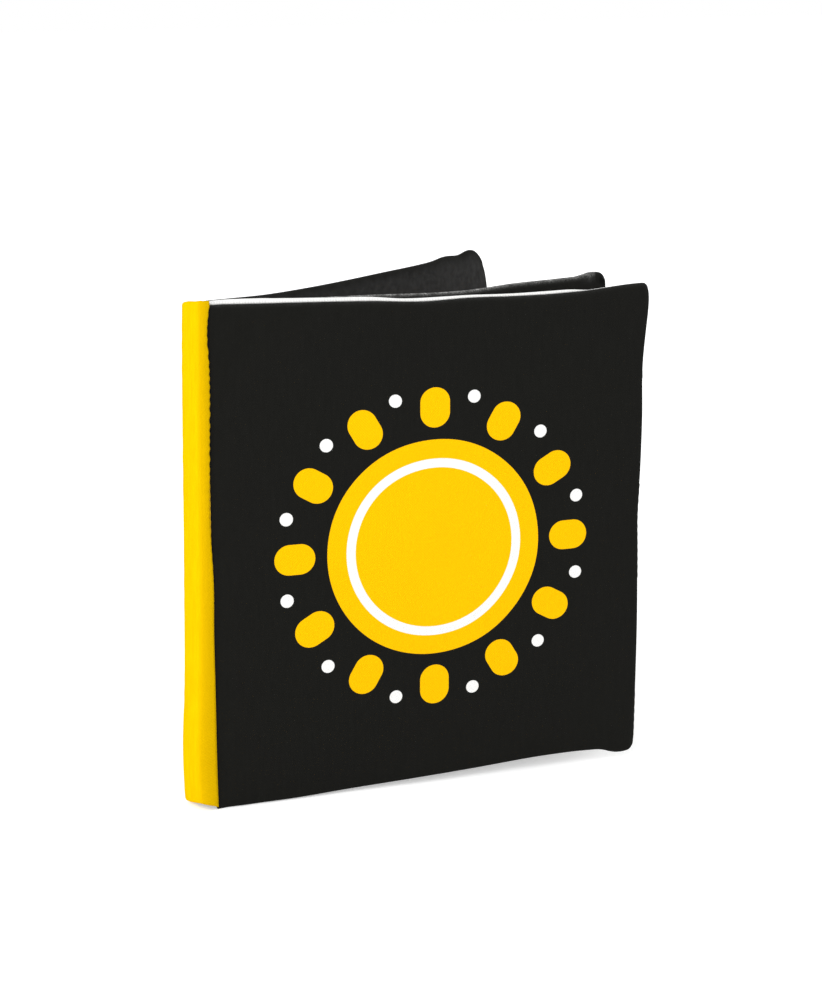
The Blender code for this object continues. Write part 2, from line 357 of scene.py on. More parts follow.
def through(points, share):
    """A smooth line through (share, value) points."""
    shares, values = np.array(points).T
    slopes = np.gradient(values, shares)
    k = np.clip(np.searchsorted(shares, share, side="right") - 1, 0, len(shares) - 2)
    gap = shares[k + 1] - shares[k]
    t = np.clip((share - shares[k]) / gap, 0, 1)
    start = (2 * t ** 3 - 3 * t ** 2 + 1) * values[k] + (t ** 3 - 2 * t ** 2 + t) * gap * slopes[k]
    end = (3 * t ** 2 - 2 * t ** 3) * values[k + 1] + (t ** 3 - t ** 2) * gap * slopes[k + 1]
    return start + end


def waves(across, up, pitch, seed, count=WAVE_COUNT):
    """A smooth random field from -1 to 1: sine waves of about one pitch in all directions."""
    draw = np.random.default_rng(seed)
    total = np.zeros(np.broadcast(across, up).shape)
    for _ in range(count):
        turn, phase, size = draw.random(3)
        turn *= 2 * math.pi
        wave = 2 * math.pi / (pitch * (WAVE_SPREAD[0] + WAVE_SPREAD[1] * size))
        total += np.sin(wave * (across * math.cos(turn) + up * math.sin(turn)) + 2 * math.pi * phase)
    return total / math.sqrt(count) / WAVE_PEAK


def pucker(along, distance, seed):
    """Small folds that stand square to a seam and die out away from it."""
    drift = waves(along, 0 * along, PUCKER_DRIFT_PITCH, seed, PUCKER_WAVES)
    phase = 2 * math.pi * along / PUCKER_PITCH + PUCKER_DRIFT * drift
    strength = waves(along, 0 * along, PUCKER_STRENGTH_PITCH, seed + 1, PUCKER_WAVES)
    strength = np.clip(PUCKER_STRENGTH[0] + PUCKER_STRENGTH[1] * strength, 0, 1)
    start = smooth(distance / PUCKER_START)
    return strength * np.sin(phase) * start * np.exp(-distance / PUCKER_REACH)


def stations(length, roll, near_roll, cell=CELL, rows=ROLL_ROWS):
    """Places along a side: close rows over each rolled edge, even cells between."""
    turns = np.linspace(0, math.pi / 2, rows + 1)
    near, far = near_roll * (1 - np.cos(turns)), length - roll * (1 - np.cos(turns[::-1]))
    cells = max(1, round((length - roll - near_roll) / cell))
    middle = np.linspace(near_roll, length - roll, cells + 1)[1:-1]
    return np.concatenate([near, middle, far])


def flat_place(across, up):
    """Where a point lies on its cloth when that is laid flat."""
    return np.stack([across, 0 * across, up], axis=-1)


def lengths_along(path):
    """The length of a path up to each of its points."""
    return np.concatenate([[0], np.cumsum(np.linalg.norm(np.diff(path, axis=0), axis=1))])


def local_points(node, matrix):
    """A CAD node's points in a leaf's own frame."""
    back = np.array(matrix.inverted())
    points = np.array([vertex.co for vertex in frame["nodes"][node].data.vertices])
    return points @ back[:3, :3].T + back[:3, 3]


def leaf_matrix(node, joint):
    """A leaf's frame, from its hinge and the direction in which its flat panel runs."""
    hinge = Vector(JOINTS[joint]["pos_m"])
    flat = np.array([vertex.co[:2] for vertex in frame["nodes"][node].data.vertices])
    centre = flat.mean(axis=0)
    along = np.linalg.svd(flat - centre, full_matrices=False)[2][0]
    if along @ (centre - np.array(hinge[:2])) < 0:
        along = -along
    return Matrix.Translation(hinge) @ Matrix.Rotation(math.atan2(along[1], along[0]), 4, "Z")


def measure_leaf(name, panels, joint, flip, **shape):
    """The leaf that the CAD panels stand for: its frame, width, height and the depth of its middle."""
    matrix = leaf_matrix(f"{name}_crinkle_film", joint)
    points = np.concatenate([local_points(f"{name}_{panel}", matrix) for panel in panels])
    low, high = points.min(axis=0), points.max(axis=0)
    middle = flip * (low[1] + high[1]) / 2
    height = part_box(f"{name}_{panels[0]}")[1].z
    return Leaf(name, matrix, flip, high[0], height, middle, **shape)


def leaf_grid(leaf):
    across = stations(leaf.width, EDGE_ROLL, leaf.near_reaches[1])
    up = stations(leaf.height, EDGE_ROLL, FOOT_ROLL)
    return np.meshgrid(across, up)


def outline(leaf, across, up, rises):
    """Where the flat sheet's point lies once the edges sag, draw in and turn round the corners."""
    width, height = leaf.width, leaf.height
    reach_across, reach_top, reach_foot = leaf.corner
    centre_across = np.minimum(across, width - reach_across)
    centre_up = np.clip(up, reach_foot, height - reach_top)
    reach_up = np.where(up > height / 2, reach_top, reach_foot)
    off_across, off_up = (across - centre_across) / reach_across, (up - centre_up) / reach_up
    away = np.maximum(np.hypot(off_across, off_up), 1e-9)
    shrink = np.maximum(np.abs(off_across), np.abs(off_up)) / away
    at_corner = (np.abs(off_across) > 0) & (np.abs(off_up) > 0)
    across = np.where(at_corner, centre_across + off_across * shrink * reach_across, across)
    up = np.where(at_corner, centre_up + off_up * shrink * reach_up, up)
    top = through(leaf.top, across / width) + rises[0]
    foot = through(leaf.foot, across / width) + rises[1]
    far = through(leaf.far, up / height) * (across / width) ** OUTLINE_FADE
    up = up + foot * (1 - up / height) ** OUTLINE_FADE + top * (up / height) ** OUTLINE_FADE
    return across + far, up


def face(leaf, side, across, up, rises=(0, 0)):
    """One face of a leaf as points in its own frame: side -1 is the outer face, 1 the inner."""
    k = (side + 1) // 2
    near = across / leaf.near_reaches[k]
    edges = rounded((leaf.height - up) / EDGE_ROLL) * rounded(up / FOOT_ROLL)
    edges = edges * rounded((leaf.width - across) / EDGE_ROLL)
    shares = 2 * across / leaf.width - 1, 2 * up / leaf.height - 1
    crown = CROWN * (1 - np.abs(shares[0]) ** CROWN_POWER) * (1 - np.abs(shares[1]) ** CROWN_POWER)
    full = leaf.middle + side * (SHOULDER + crown)
    depth = leaf.near_depths[k] + (full - leaf.near_depths[k]) * rounded(near)
    seam = sum(leaf.near_depths) / 2
    seam = seam + (leaf.middle - seam) * smooth(across / max(leaf.near_reaches))
    depth = seam + side * SEAM_HALF_SLOT + (depth - seam - side * SEAM_HALF_SLOT) * edges
    seed = SEEDS_APART * (len(leaf.name) + leaf.flip) + side
    folds = pucker(across, leaf.height - up, seed) + pucker(across, up, seed + 2)
    folds = folds + pucker(up, leaf.width - across, seed + 4)
    slow = waves(across, up, WAVE_PITCH, seed + 6) * edges * smooth(near)
    depth = depth + side * PUCKER_RISE * folds * smooth(near) + WAVE_RISE * slow
    lip = rounded((leaf.height - up) / (LINING_LIP * EDGE_ROLL))
    across, up = outline(leaf, across, up, (rises[0] * lip, rises[1]))
    depth = depth + curl_depth(leaf, across, up)
    return np.stack([across, leaf.flip * depth, up], axis=-1)


def curl_depth(leaf, across, up):
    """The free upper corner leans out of the leaf's plane."""
    return leaf.curl * smooth((across / leaf.width + up / leaf.height - CURL_START) / CURL_SPAN)


def rim_of(rows, columns):
    """The border of a grid, once round, as flat indices."""
    index = np.arange(rows * columns).reshape(rows, columns)
    return np.concatenate([index[0, :-1], index[:-1, -1], index[-1, :0:-1], index[:0:-1, 0]])


def quads(rows, columns, start=0, turned=False):
    index = start + np.arange(rows * columns).reshape(rows, columns)
    faces = np.stack([index[:-1, :-1], index[:-1, 1:], index[1:, 1:], index[1:, :-1]], axis=-1)
    faces = faces.reshape(-1, 4)
    return (faces[:, ::-1] if turned else faces).tolist()


def closed_mesh(name, low, high):
    """Two grids of the same size, joined round their rims."""
    rows, columns = low.shape[:2]
    count = rows * columns
    rim = rim_of(rows, columns)
    after = np.roll(rim, -1)
    strip = np.stack([rim, after, count + after, count + rim], axis=-1).tolist()
    points = np.concatenate([low.reshape(-1, 3), high.reshape(-1, 3)]).tolist()
    mesh = bpy.data.meshes.new(name)
    mesh.from_pydata(points, [], quads(rows, columns) + quads(rows, columns, count, True) + strip)
    form = bmesh.new()
    form.from_mesh(mesh)
    bmesh.ops.recalc_face_normals(form, faces=form.faces)
    form.to_mesh(mesh)
    form.free()
    return mesh


def inflate(outer, inner, free):
    """Cloth under pressure: the two faces of a pad, held along its seam. Returns both faces, swollen."""
    pad = bpy.data.objects.new("pad", closed_mesh("pad", outer, inner))
    bpy.context.scene.collection.objects.link(pad)
    held = pad.vertex_groups.new(name="held")
    loose = np.tile(free.reshape(-1), 2)
    for k in np.flatnonzero(loose < 1):
        held.add([int(k)], float(1 - loose[k]), "REPLACE")
    cloth = pad.modifiers.new("Cloth", "CLOTH")
    settings = cloth.settings
    settings.quality = SIM_QUALITY
    settings.mass = SIM_MASS
    settings.tension_stiffness = settings.compression_stiffness = SIM_TENSION
    settings.shear_stiffness = SIM_SHEAR
    settings.bending_stiffness = SIM_BENDING
    settings.vertex_group_mass = "held"
    settings.use_pressure = True
    settings.uniform_pressure_force = SIM_PRESSURE
    settings.shrink_min = -SIM_EXTRA_CLOTH
    settings.effector_weights.gravity = 0
    cloth.collision_settings.use_collision = False
    cloth.point_cache.frame_end = SIM_FRAMES
    for step in range(1, SIM_FRAMES + 1):
        bpy.context.scene.frame_set(step)
    shape = pad.evaluated_get(bpy.context.evaluated_depsgraph_get())
    points = np.concatenate([outer.reshape(-1, 3), inner.reshape(-1, 3)])
    count = len(points) // 2
    swollen = np.zeros(len(points) * 3, np.float32)
    shape.data.vertices.foreach_get("co", swollen)
    move = swollen.reshape(-1, 3) - points
    length = np.maximum(np.linalg.norm(move, axis=1), 1e-9)
    cap = SIM_CAP * loose
    move *= (np.minimum(length, cap) / length)[:, None]
    bpy.context.scene.frame_set(1)
    bpy.data.objects.remove(pad)
    points = points + move
    return points[:count].reshape(outer.shape), points[count:].reshape(outer.shape)


def make_mesh(name, points, place, edge, turned):
    """A grid of points as a mesh that keeps its flat cloth place and its nearness to an edge."""
    rows, columns = points.shape[:2]
    mesh = bpy.data.meshes.new(name)
    mesh.from_pydata(points.reshape(-1, 3).tolist(), [], quads(rows, columns, 0, turned))
    attribute = mesh.attributes.new("cloth_place", "FLOAT_VECTOR", "POINT")
    attribute.data.foreach_set("vector", place.astype(np.float32).ravel())
    attribute = mesh.attributes.new("cloth_edge", "FLOAT", "POINT")
    attribute.data.foreach_set("value", edge.astype(np.float32).ravel())
    mesh.shade_smooth()
    return mesh


def make_piece(name, data, material, matrix=None):
    piece = bpy.data.objects.new(name, data)
    bpy.context.scene.collection.objects.link(piece)
    data.materials.append(material)
    if matrix is not None:
        piece.matrix_world = matrix
    return piece


def thicken(piece, thickness, levels=1):
    if levels:
        fine = piece.modifiers.new("Fine", "SUBSURF")
        fine.levels = fine.render_levels = levels
    solid = piece.modifiers.new("Thickness", "SOLIDIFY")
    solid.thickness = thickness
    solid.offset = -1.0


# Materials. A value in a material is a number or another node's output, which also says in which tree

def feed(sockets, values):
    """Link or set a node's inputs."""
    for socket, value in zip(sockets, values):
        if isinstance(value, bpy.types.NodeSocket):
            socket.id_data.links.new(value, socket)
        elif isinstance(value, tuple) and socket.type == "RGBA":
            socket.default_value = (*value, 1.0)
        else:
            socket.default_value = value


def calc(operation, *values):
    tree = next(value.id_data for value in values if isinstance(value, bpy.types.NodeSocket))
    node = tree.nodes.new("ShaderNodeMath")
    node.operation = operation
    feed(node.inputs, values)
    return node.outputs[0]


add, subtract, multiply, multiply_add, maximum = (
    partial(calc, operation) for operation in ("ADD", "SUBTRACT", "MULTIPLY", "MULTIPLY_ADD", "MAXIMUM"))


def clamped(value):
    """The result of a maths node, kept between 0 and 1."""
    value.node.use_clamp = True
    return value


def mixed(share, low, high):
    node = share.id_data.nodes.new("ShaderNodeMix")
    node.data_type = "RGBA"
    feed((node.inputs[0], node.inputs[6], node.inputs[7]), (share, low, high))
    return node.outputs[2]


def grain(place, scale, detail, roughness=0.5):
    node = place.id_data.nodes.new("ShaderNodeTexNoise")
    feed([node.inputs[name] for name in ("Vector", "Scale", "Detail", "Roughness")],
         (place, scale, detail, roughness))
    return node.outputs[0]


def scaled_place(place, scale):
    node = place.id_data.nodes.new("ShaderNodeVectorMath")
    node.operation = "MULTIPLY"
    feed(node.inputs, (place, scale))
    return node.outputs[0]


def attribute_of(tree, name, output):
    node = tree.nodes.new("ShaderNodeAttribute")
    node.attribute_name = name
    return node.outputs[output]


def shaded(colour, share):
    return tuple(min(1, share * part) for part in colour)


def new_material(name, roughness, specular, sheen=0.0):
    material = bpy.data.materials.new(name)
    material.use_nodes = True
    shader = material.node_tree.nodes["Principled BSDF"]
    shader.inputs["Roughness"].default_value = roughness
    shader.inputs["Specular IOR Level"].default_value = specular
    shader.inputs["Sheen Weight"].default_value = sheen
    shader.inputs["Sheen Roughness"].default_value = SHEEN_ROUGHNESS
    return material, material.node_tree, shader


def bumped(shader, height, distance, strength=1.0):
    node = height.id_data.nodes.new("ShaderNodeBump")
    feed([node.inputs[name] for name in ("Height", "Distance", "Strength")], (height, distance, strength))
    feed([shader.inputs["Normal"]], [node.outputs[0]])


def woven(name, colour, sheen=BLACK_SHEEN, specular=CLOTH_SPECULAR, napped=COVER_NAP, wear_and_highlight=None, painted_tip_shade=None,
          darker_near_edge=None, print_on=None):
    """Plain woven cloth, with three colours near an edge: wear with a painted highlight, painted shade in a
    far corner, and a darker colour towards the edge, which on the yellow strip is painted shade.

    print_on(across, up) gives (share of ink, ink colour) pairs, one over another.
    """
    material, tree, shader = new_material(name, CLOTH_ROUGHNESS, specular, sheen)
    place = attribute_of(tree, "cloth_place", "Vector")
    split = tree.nodes.new("ShaderNodeSeparateXYZ")
    tree.links.new(place, split.inputs[0])
    across, up = split.outputs[0], split.outputs[2]
    warp, weft = (calc("SINE", multiply(way, math.pi / THREAD_PITCH)) for way in (across, up))
    crossing = multiply(warp, weft)
    slub = grain(scaled_place(place, SLUB_STRETCH), *SLUB_GRAIN)
    fluff = grain(place, *FLUFF_GRAIN)
    height = add(multiply(crossing, WEAVE_RISES[0]), multiply(slub, WEAVE_RISES[1]))
    height = add(height, multiply(fluff, WEAVE_RISES[2]))
    dark, light = (shaded(colour, share) for share in YARN_SHADES)
    tone = multiply_add(crossing, WEAVE_TONES[0], multiply(slub, WEAVE_TONES[1]))
    cloth = mixed(add(tone, WEAVE_TONES[2]), dark, light)
    cloth = mixed(multiply(grain(place, *CLOUD_GRAIN), CLOUD_SHARE), cloth, dark)
    nap = clamped(multiply_add(grain(place, *NAP_GRAIN), *NAP_CONTRAST))
    cloth = mixed(multiply(nap, napped), cloth, shaded(colour, NAP_SHADE))
    for share, ink in print_on(across, up) if print_on else ():
        cloth = mixed(share, cloth, mixed(multiply(slub, INK_SHARE), ink, shaded(ink, INK_SHADE)))
    edge = attribute_of(tree, "cloth_edge", "Fac")
    # Wear near an edge, with a painted highlight
    if wear_and_highlight:
        rub = multiply_add(fluff, *RUB_CONTRAST)
        rub = multiply(rub, multiply_add(nap, WORN_PATCHES, 1 - WORN_PATCHES / 2))
        near = calc("POWER", maximum(edge, 0.0), WEAR_AND_HIGHLIGHT_POWER)
        cloth = mixed(clamped(multiply(rub, near)), cloth, wear_and_highlight)
    # Painted shade in a far corner, where the edge share is below zero
    if painted_tip_shade:
        cloth = mixed(clamped(multiply(edge, -1.0)), cloth, painted_tip_shade)
    # Darker towards an edge; on the yellow strip this is painted shade on its turned-in walls
    if darker_near_edge:
        cloth = mixed(edge, cloth, darker_near_edge)
    tree.links.new(cloth, shader.inputs["Base Color"])
    bumped(shader, height, *WEAVE_BUMP)
    return material


def inside(distance, softness=INK_SOFTNESS):
    """1 where a distance is below zero, 0 above it, with an edge as soft as the cloth's thread."""
    return clamped(multiply_add(distance, -1 / softness, 0.5))


def polar(across, up, centre):
    """Distance and angle round a centre."""
    x = subtract(across, centre[0])
    z = subtract(up, centre[1])
    squares = multiply_add(x, x, multiply(z, z))
    return calc("SQRT", squares), calc("ARCTAN2", z, x)


def spoke(radius, angle, count, offset, start, end, half_width):
    """Distance to the nearest of a ring of round-ended bars."""
    step = 2 * math.pi / count
    turned = add(angle, offset * step + step / 2)
    folded = subtract(calc("FLOORED_MODULO", turned, step), step / 2)
    along = multiply(radius, calc("COSINE", folded))
    beside = multiply(radius, calc("SINE", folded))
    short = maximum(maximum(subtract(start, along), subtract(along, end)), 0.0)
    reach = calc("SQRT", multiply_add(short, short, multiply(beside, beside)))
    return subtract(reach, half_width)


def sun_print(leaf):
    """A plain sun: a disc with a ring in it, short bars round it and dots between them."""
    centre = (SUN_PLACE[0] * leaf.width, SUN_PLACE[1] * leaf.height)

    def draw(across, up):
        radius, angle = polar(across, up, centre)
        disc = inside(subtract(radius, SUN_DISC))
        ring = calc("ABSOLUTE", subtract(radius, SUN_RING))
        ring = inside(subtract(ring, SUN_RING_HALF_WIDTH))
        bars = inside(spoke(radius, angle, SUN_BARS, 0.0, *SUN_BAR_REACH, SUN_BAR_HALF_WIDTH))
        dots = inside(spoke(radius, angle, SUN_BARS, 0.5, SUN_DOT_REACH, SUN_DOT_REACH, SUN_DOT))
        return [(disc, INK_YELLOW), (ring, WHITE), (bars, INK_YELLOW), (dots, WHITE)]

    return draw


def window(leaf, across, up, margins):
    """1 inside a plain rectangle that leaves margins at the sides, the foot and the top of a page."""
    side, foot, top = margins
    shares = []
    for way, low, high in ((across, side, leaf.width - side), (up, foot, leaf.height - top)):
        off = calc("ABSOLUTE", subtract(way, (low + high) / 2))
        shares.append(inside(subtract(off, (high - low) / 2)))
    return multiply(*shares)


def dots_print(leaf):
    """Rows of round dots, each row half a step along from the last, whole dots only."""
    def draw(across, up):
        row = calc("FLOOR", calc("DIVIDE", up, DOT_STEP))
        start = multiply_add(calc("FLOORED_MODULO", row, 2.0), -DOT_STEP / 2, leaf.width / 2)
        column = calc("FLOOR", calc("DIVIDE", subtract(across, start), DOT_STEP))
        centre_across = multiply_add(add(column, 0.5), DOT_STEP, start)
        centre_up = multiply(add(row, 0.5), DOT_STEP)
        radius, _ = polar(across, up, (centre_across, centre_up))
        dots = inside(subtract(radius, DOT_RADIUS))
        whole = window(leaf, centre_across, centre_up, DOT_MARGINS)
        return [(multiply(dots, whole), BLACK)]

    return draw


def rings_print(leaf):
    """White rings, one in another."""
    def draw(across, up):
        radius, _ = polar(across, up, (leaf.width / 2, leaf.height / 2))
        step = calc("FLOORED_MODULO", radius, RING_STEP)
        bands = inside(subtract(step, RING_STEP / 2))
        whole = inside(subtract(radius, RING_STEP * (RING_COUNT - 0.25)))
        return [(multiply(bands, whole), WHITE)]

    return draw


def ripple_print(leaf):
    """Yellow stripes from side to side that rise and fall."""
    def draw(across, up):
        swing = calc("SINE", multiply(across, 2 * math.pi / RIPPLE_LENGTH))
        line = multiply_add(swing, RIPPLE_RISE, subtract(up, RIPPLE_FOOT))
        step = calc("FLOORED_MODULO", line, RIPPLE_STEP)
        bands = inside(subtract(step, RIPPLE_STEP / 2))
        half = RIPPLE_STEP * RIPPLE_COUNT / 2
        beyond = calc("ABSOLUTE", subtract(line, half - RIPPLE_STEP / 4))
        return [(multiply(bands, inside(subtract(beyond, half))), INK_YELLOW)]

    return draw


def checks_print(leaf):
    """White squares, like a chessboard's."""
    def draw(across, up):
        x = calc("SINE", multiply(subtract(across, leaf.width / 2), math.pi / CHECK_SIZE))
        z = calc("SINE", multiply(subtract(up, CHECK_FOOT), math.pi / CHECK_SIZE))
        squares = inside(multiply(x, z), CHECK_SOFTNESS)
        top = leaf.height - CHECK_FOOT - CHECK_ROWS * CHECK_SIZE
        margins = (leaf.width / 2 - CHECK_COLUMNS * CHECK_SIZE / 2 + CHECK_TRIM, CHECK_FOOT + CHECK_TRIM,
                   top + CHECK_TRIM)
        return [(multiply(squares, window(leaf, across, up, margins)), WHITE)]

    return draw


def build_camera():
    data = bpy.data.cameras.new("camera")
    data.sensor_width = SENSOR
    data.lens = CAMERA_FOCAL * SENSOR / PHOTO_HEIGHT
    camera = bpy.data.objects.new("camera", data)
    camera.location = CAMERA_PLACE
    camera.rotation_euler = (math.radians(90 - CAMERA_DOWN), 0, math.radians(CAMERA_HEADING - 90))
    bpy.context.scene.collection.objects.link(camera)
    bpy.context.scene.camera = camera


def build_light(name, place, size, power):
    data = bpy.data.lights.new(name, "AREA")
    data.shape = "DISK"
    data.size = size
    data.energy = power
    lamp = bpy.data.objects.new(name, data)
    lamp.location = place
    lamp.rotation_mode = "QUATERNION"
    lamp.rotation_quaternion = (Vector(LIGHT_AIM) - Vector(place)).to_track_quat("-Z", "Y")
    bpy.context.scene.collection.objects.link(lamp)


def seen_directly(tree):
    """1 for rays from the camera, in a reflection or through glass."""
    path = tree.nodes.new("ShaderNodeLightPath")
    share = maximum(path.outputs["Is Camera Ray"], path.outputs["Is Glossy Ray"])
    return maximum(share, path.outputs["Is Transmission Ray"])


def build_world():
    world = bpy.data.worlds.new("studio")
    bpy.context.scene.world = world
    world.use_nodes = True
    tree = world.node_tree
    shade = tree.nodes["Background"]
    shade.inputs["Color"].default_value = (*FULL_WHITE, 1)
    strength = multiply_add(seen_directly(tree), 1.0 - WORLD_STRENGTH, WORLD_STRENGTH)
    tree.links.new(strength, shade.inputs["Strength"])


def build_floor():
    mesh = bpy.data.meshes.new("floor")
    form = bmesh.new()
    bmesh.ops.create_grid(form, x_segments=1, y_segments=1, size=FLOOR_HALF)
    form.to_mesh(mesh)
    form.free()
    floor = bpy.data.objects.new("floor", mesh)
    floor.location.z = -FLOOR_DROP
    bpy.context.scene.collection.objects.link(floor)
    material = bpy.data.materials.new("pale_floor")
    material.use_nodes = True
    tree = material.node_tree
    shader = tree.nodes["Principled BSDF"]
    shader.inputs["Base Color"].default_value = (*FLOOR_WHITE, 1)
    shader.inputs["Roughness"].default_value = 1.0
    shader.inputs["Specular IOR Level"].default_value = 0.0
    shader.inputs["Emission Color"].default_value = (*FULL_WHITE, 1)
    glow = multiply(seen_directly(tree), FLOOR_GLOW)
    tree.links.new(glow, shader.inputs["Emission Strength"])
    mesh.materials.append(material)


def nearness(leaf, across, up):
    """1 at the leaf's top edge, less at its foot and far edge, falling to 0 within a few millimetres. It is
    the share of wear and painted highlight there, and on the back cover's lining of a darker colour.

    A frayed leaf also has a worn spot on its top edge, and goes to -1 in its far corner, where painted
    shade darkens it.
    """
    distances = leaf.height - up, up, leaf.width - across
    shares = [share * np.clip(1 - distance / NEAR_EDGE_REACH, 0, 1)
              for share, distance in zip(NEAR_EDGE_SHARES, distances)]
    if leaf.frayed:
        shares.append(1 - np.hypot(across - FRAYED_PLACE * leaf.width, leaf.height - up) / leaf.frayed)
    nearest = np.maximum.reduce(shares)
    if leaf.frayed:
        # Painted shade: the far upper corner goes dark
        off = leaf.width - SHADE_TIP_INSET[0] - across, leaf.height - SHADE_TIP_INSET[1] - up
        painted_tip_shade = smooth(1 - np.hypot(*off) / SHADE_TIP_REACH)
        nearest = nearest * (1 - painted_tip_shade) - painted_tip_shade
    return nearest


def add_allowance(leaf, points, place, edge):
    """The outer panel runs on past the hinge, into the spine's seam."""
    columns, places = [], []
    for across in SEAM_ALLOWANCE:
        column = points[:, :1].copy()
        column[..., 0] = across
        column[..., 1] = leaf.flip * (leaf.near_depths[0] + LAYER_GAP)
        column[..., 2] = leaf.height / 2 + (column[..., 2] - leaf.height / 2) * ALLOWANCE_SHARE
        columns.append(column)
        spot = place[:, :1].copy()
        spot[..., 0] = across
        places.append(spot)
    points = np.concatenate([*columns, points], axis=1)
    place = np.concatenate([*places, place], axis=1)
    edge = np.concatenate([edge[:, :1]] * len(SEAM_ALLOWANCE) + [edge], axis=1)
    return points, place, edge


def build_panel(leaf, way, side, points, place, edge, material):
    """One cloth of a leaf. A cover's outer cloth runs on into the spine and is not attached to the leaf."""
    runs_on = way < 0 and leaf.middle != 0
    if runs_on:
        points, place, edge = add_allowance(leaf, points, place, edge)
    name = f"{leaf.name}_{side}_cloth"
    mesh = make_mesh(name, points, place, edge, way * leaf.flip > 0)
    piece = make_piece(name, mesh, material, leaf.matrix)
    thicken(piece, FABRIC)
    if runs_on:
        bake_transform(piece)
    else:
        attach(piece, leaf.name)
    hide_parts(f"{leaf.name}_{side}_panel")


def build_film(leaf, outer, across, up, material):
    """The crackling film under the outer panel: creased into flat facets."""
    keep = filling_slice(leaf, across, up)
    points = outer[keep].copy()
    across, up = across[keep], up[keep]
    creases = np.abs(waves(across, up, CREASE_PITCH, FILM_SEED)) ** CREASE_POWER
    fine = np.abs(waves(across, up, FINE_CREASES * CREASE_PITCH, FILM_SEED + 1)) ** CREASE_POWER
    points[..., 1] += leaf.flip * (FILM_DEPTH + CREASE_RISE * (creases - fine))
    name = f"{leaf.name}_film"
    mesh = make_mesh(name, points, flat_place(across, up), 0 * across, leaf.flip < 0)
    mesh.shade_flat()
    piece = make_piece(name, mesh, material, leaf.matrix)
    thicken(piece, FILM, 0)
    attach(piece, leaf.name)
    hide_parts(f"{leaf.name}_crinkle_film")


def filling_slice(leaf, across, up):
    """The part of a leaf's grid that the filling takes up."""
    columns = np.flatnonzero((across[0] > FILLING_INSET + leaf.near_reaches[0])
                             & (across[0] < leaf.width - FILLING_INSET))
    rows = np.flatnonzero((up[:, 0] > FILLING_INSET) & (up[:, 0] < leaf.height - FILLING_INSET))
    return slice(rows[0], rows[-1] + 1), slice(columns[0], columns[-1] + 1)


def add_pillow(name, low, high, material, body, node, matrix=None):
    """Wadding: a closed pillow between two grids of points."""
    mesh = closed_mesh(name, low, high)
    mesh.shade_smooth()
    piece = make_piece(name, mesh, material, matrix)
    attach(piece, body)
    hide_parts(node)


def build_wadding(leaf, outer, inner_side, across, up, material):
    """The soft sheet between the film and the inner panel: a closed pillow."""
    keep = filling_slice(leaf, across, up)
    across, up = across[keep], up[keep]
    distance = np.minimum(np.minimum(across - across.min(), across.max() - across),
                          np.minimum(up - up.min(), up.max() - up))
    swell = rounded((distance + FILM) / FILLING_ROLL)
    low, high = outer[keep].copy(), inner_side[keep].copy()
    low[..., 1] += leaf.flip * WADDING_DEPTHS[0]
    high[..., 1] -= leaf.flip * WADDING_DEPTHS[1]
    middle = (low + high) / 2
    fluff = WADDING_FLUFF * waves(across, up, FLUFF_PITCH, FILM_SEED + 2)
    low, high = middle + (low - middle) * swell[..., None], middle + (high - middle) * swell[..., None]
    low[..., 1] += fluff * swell
    high[..., 1] += fluff * swell
    add_pillow(f"{leaf.name}_filling", low, high, material, leaf.name, f"{leaf.name}_wadding",
               leaf.matrix)


def stitched(name, path, sway, pitch, material, body, node, matrix=None):
    """A sewing thread along a path, which sways from side to side once a stitch."""
    path = np.asarray(path, float)
    lengths = lengths_along(path)
    stitches = max(1, round(lengths[-1] / pitch))
    spots = np.linspace(0, lengths[-1], stitches * STITCH_POINTS + 1)
    points = np.stack([np.interp(spots, lengths, path[:, axis]) for axis in range(3)], axis=-1)
    swing = np.cos(2 * math.pi * spots / lengths[-1] * stitches)
    swing = np.sign(swing) * np.abs(swing) ** SWING_POWER
    points = points + swing[:, None] * np.asarray(sway)
    curve = bpy.data.curves.new(name, "CURVE")
    curve.dimensions = "3D"
    curve.bevel_depth = THREAD
    curve.bevel_resolution = THREAD_ROUNDNESS
    curve.use_fill_caps = True
    spline = curve.splines.new("POLY")
    spline.points.add(len(points) - 1)
    spline.points.foreach_set("co", np.column_stack([points, np.ones(len(points))]).ravel())
    piece = make_piece(name, curve, material, matrix)
    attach(piece, body)
    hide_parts(node)


def build_edge_thread(leaf, outer, inner_side, material):
    """Round the three free edges, in the slot between the two panels."""
    seam = (outer + inner_side) / 2
    lower, upper = np.minimum(outer, inner_side)[..., 2], np.maximum(outer, inner_side)[..., 2]
    seam[..., 2] = np.where(seam[..., 2] > leaf.height / 2, lower, upper)
    first = 2 if leaf.middle else 1
    path = np.concatenate([seam[0, first:-1], seam[:-1, -1], seam[-1, :first - 1:-1]])
    centre = np.array([leaf.width / 2, 0, leaf.height / 2])
    inward = np.sign(centre - path) * np.array([THREAD_INSET, 0, THREAD_INSET])
    inward[:, 0] *= (np.abs(path[:, 0] - leaf.width) < THREAD_INSET)
    stitched(f"{leaf.name}_edge_stitches", path + inward, (0, EDGE_SWAY, 0), EDGE_STITCH, material,
             leaf.name, f"{leaf.name}_edge_thread", leaf.matrix)


